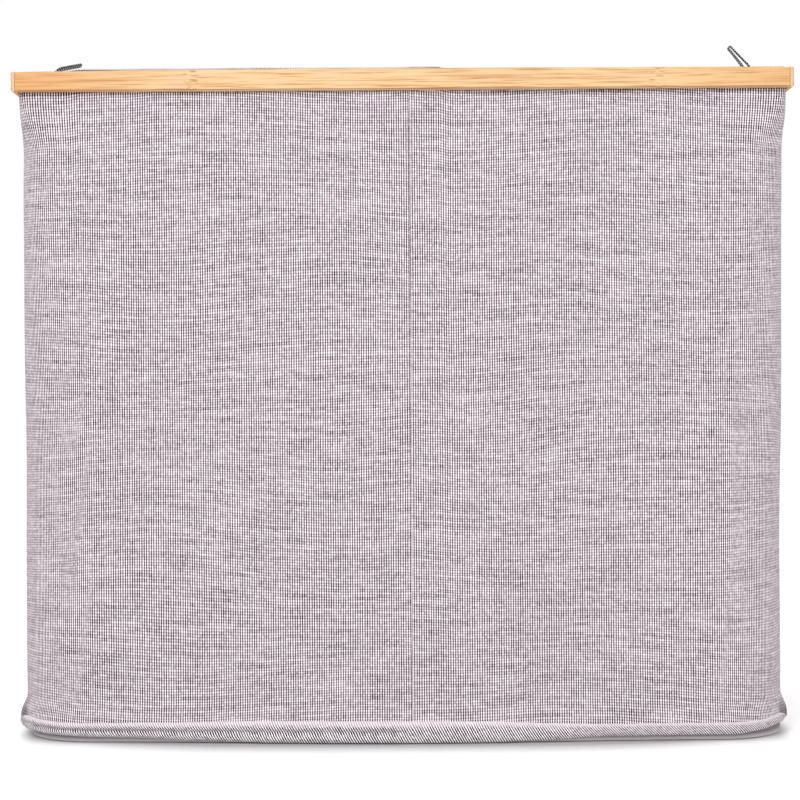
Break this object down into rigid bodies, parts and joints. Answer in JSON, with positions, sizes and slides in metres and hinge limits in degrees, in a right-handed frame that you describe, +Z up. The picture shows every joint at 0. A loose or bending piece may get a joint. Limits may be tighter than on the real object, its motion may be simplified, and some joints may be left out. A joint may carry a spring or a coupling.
{
  "type": "laundry hamper",
  "caption": "Free-standing divided laundry hamper: an oblong cloth box with stiffened walls, a bamboo rim, a centre divider and lift-out liner bags with pull loops.",
  "frame": {"origin": "on the floor, under the middle of the rim", "axes": "+X along the long sides, to the right seen from the front; +Y from the front to the rear; +Z up"},
  "size_m": [0.6434, 0.3574, 0.5882],
  "materials": {
    "bamboo": "satin",
    "woven_cloth": "woven",
    "lining_cloth": "plain weave",
    "liner_cloth": "plain weave",
    "fibre_board": "raw",
    "steel_wire": "bright",
    "tape_nylon": "hook and loop"
  },
  "bodies": {
    "shell": {"rim_front_slat": "bamboo", "rim_rear_slat": "bamboo", "rim_left_slat": "bamboo", "rim_right_slat": "bamboo", "corner_pin_front_left": "steel_wire", "corner_pin_front_right": "steel_wire", "corner_pin_rear_left": "steel_wire", "corner_pin_rear_right": "steel_wire", "rim_staple_front_left_1": "steel_wire", "rim_staple_front_left_2": "steel_wire", "rim_staple_front_right_1": "steel_wire", "rim_staple_front_right_2": "steel_wire", "rim_staple_rear_left_1": "steel_wire", "rim_staple_rear_left_2": "steel_wire", "rim_staple_rear_right_1": "steel_wire", "rim_staple_rear_right_2": "steel_wire", "rim_staple_left": "steel_wire", "rim_staple_right": "steel_wire", "skin_left": "woven_cloth", "skin_right": "woven_cloth", "lining_left": "lining_cloth", "lining_right": "lining_cloth", "board_front_left": "fibre_board", "board_front_right": "fibre_board", "board_rear_left": "fibre_board", "board_rear_right": "fibre_board", "board_side_left": "fibre_board", "board_side_right": "fibre_board", "loop_tape_front_left": "tape_nylon", "loop_tape_front_right": "tape_nylon", "loop_tape_rear_left": "tape_nylon", "loop_tape_rear_right": "tape_nylon", "base_welt": "woven_cloth", "base_cloth": "woven_cloth", "base_board_left": "fibre_board", "base_board_right": "fibre_board", "base_lining": "lining_cloth", "divider_board": "fibre_board", "divider_cover": "lining_cloth"},
    "left_liner": {"left_liner_bag": "liner_cloth", "left_liner_bottom": "liner_cloth", "left_liner_hem": "liner_cloth", "left_hook_tape_front": "tape_nylon", "left_hook_tape_rear": "tape_nylon", "left_outer_pull_patch": "woven_cloth", "left_inner_pull_patch": "woven_cloth"},
    "right_liner": {"right_liner_bag": "liner_cloth", "right_liner_bottom": "liner_cloth", "right_liner_hem": "liner_cloth", "right_hook_tape_front": "tape_nylon", "right_hook_tape_rear": "tape_nylon", "right_outer_pull_patch": "woven_cloth", "right_inner_pull_patch": "woven_cloth"},
    "left_outer_loop": {"left_outer_pull": "woven_cloth"},
    "left_inner_loop": {"left_inner_pull": "woven_cloth"},
    "right_outer_loop": {"right_outer_pull": "woven_cloth"},
    "right_inner_loop": {"right_inner_pull": "woven_cloth"}
  },
  "joints": [
    {"name": "left_liner_lift", "type": "slide", "parent": "shell", "child": "left_liner", "axis": [0, 0, 1], "range_m": [0, 0.56]},
    {"name": "right_liner_lift", "type": "slide", "parent": "shell", "child": "right_liner", "axis": [0, 0, 1], "range_m": [0, 0.56]},
    {"name": "left_outer_loop_swing", "type": "hinge", "parent": "left_liner", "child": "left_outer_loop", "pos_m": [-0.2984, 0, 0.5319], "axis": [0, 1, 0], "range_deg": [0, 100], "stiffness_Nm_per_rad": 0.02},
    {"name": "left_inner_loop_swing", "type": "hinge", "parent": "left_liner", "child": "left_inner_loop", "pos_m": [-0.0027, 0, 0.5319], "axis": [0, -1, 0], "range_deg": [-78, 10], "stiffness_Nm_per_rad": 0.02},
    {"name": "right_outer_loop_swing", "type": "hinge", "parent": "right_liner", "child": "right_outer_loop", "pos_m": [0.2984, 0, 0.5319], "axis": [0, -1, 0], "range_deg": [0, 100], "stiffness_Nm_per_rad": 0.02},
    {"name": "right_inner_loop_swing", "type": "hinge", "parent": "right_liner", "child": "right_inner_loop", "pos_m": [0.0147, 0, 0.5319], "axis": [0, 1, 0], "range_deg": [-78, 10], "stiffness_Nm_per_rad": 0.02}
  ]
}
